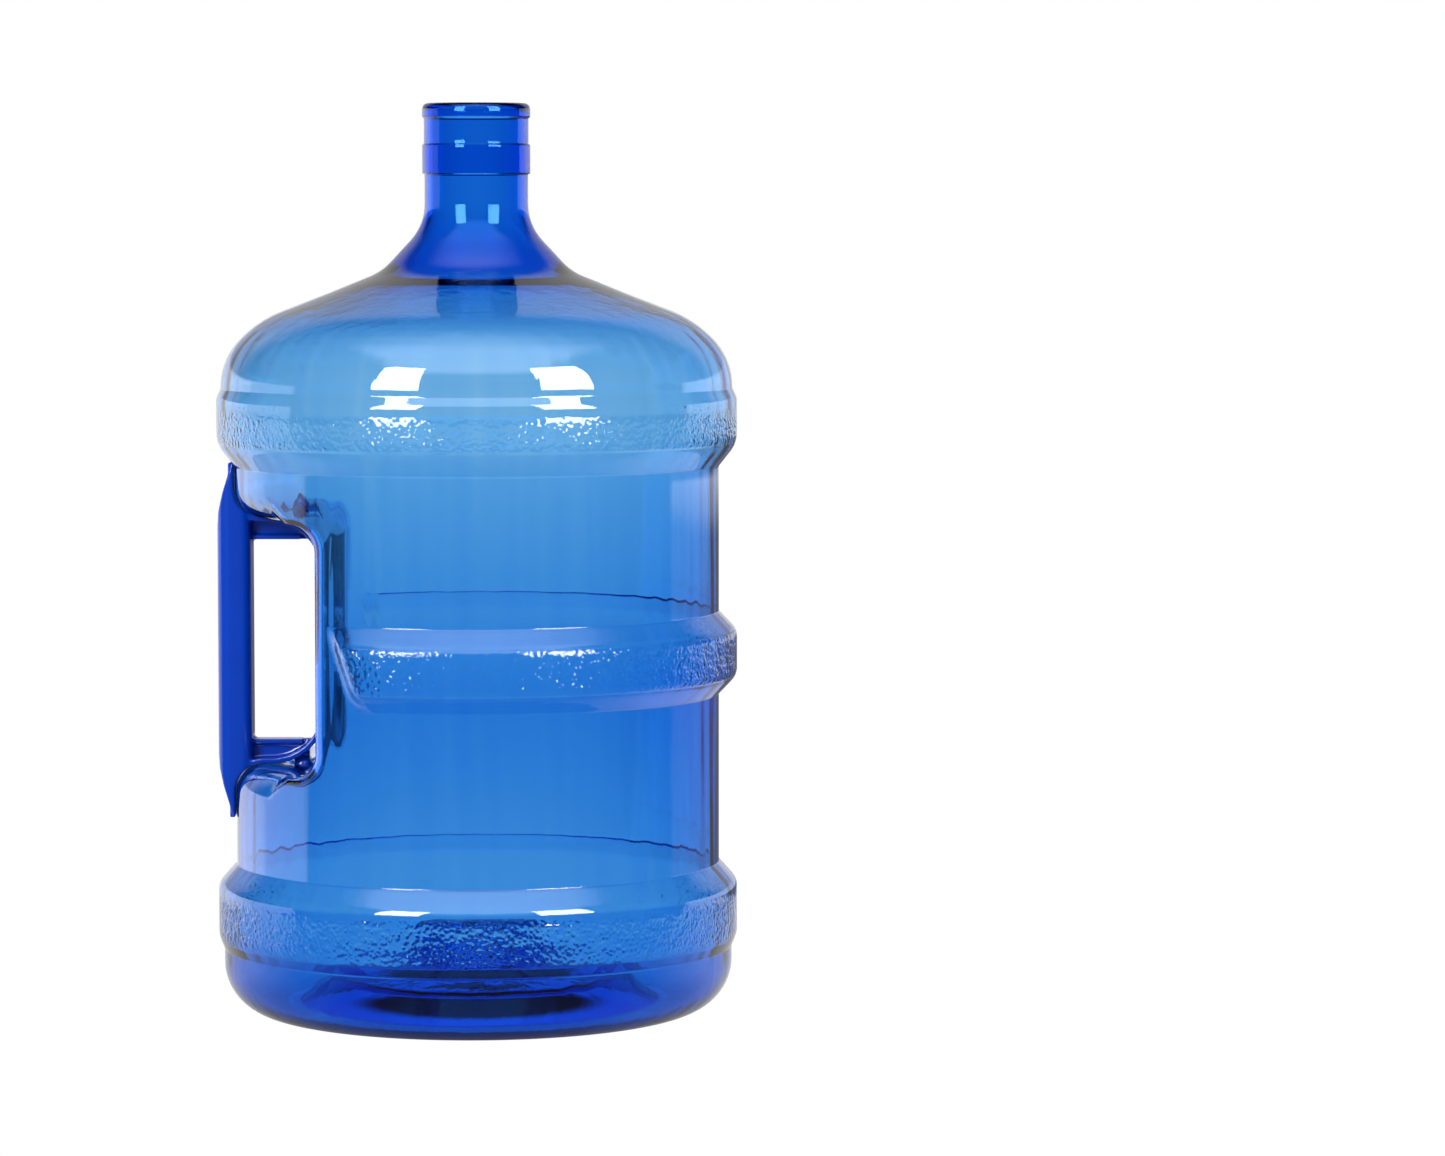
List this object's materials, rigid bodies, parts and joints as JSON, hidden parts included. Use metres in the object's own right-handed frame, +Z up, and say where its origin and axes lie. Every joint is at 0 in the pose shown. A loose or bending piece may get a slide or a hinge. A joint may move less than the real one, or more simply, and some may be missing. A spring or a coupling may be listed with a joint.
{
  "type": "water jug",
  "caption": "Large blow-moulded water jug with a domed shoulder, a narrow snap-cap neck, banded cylindrical walls and a grip handle set in a side pocket.",
  "frame": {"origin": "middle of the base, on the plane that the foot ring stands on", "axes": "+Z up along the jug's axis and out of the neck; the handle is on -X; Y runs across the grip"},
  "size_m": [0.2699, 0.27, 0.472],
  "materials": {
    "bottle_blue": "clear blue polycarbonate, glossy, pebbled on the bands",
    "handle_blue": "deep blue plastic, smooth satin gloss"
  },
  "bodies": {
    "root": {"bottle_body": "bottle_blue", "handle_insert": "handle_blue"}
  },
  "joints": []
}
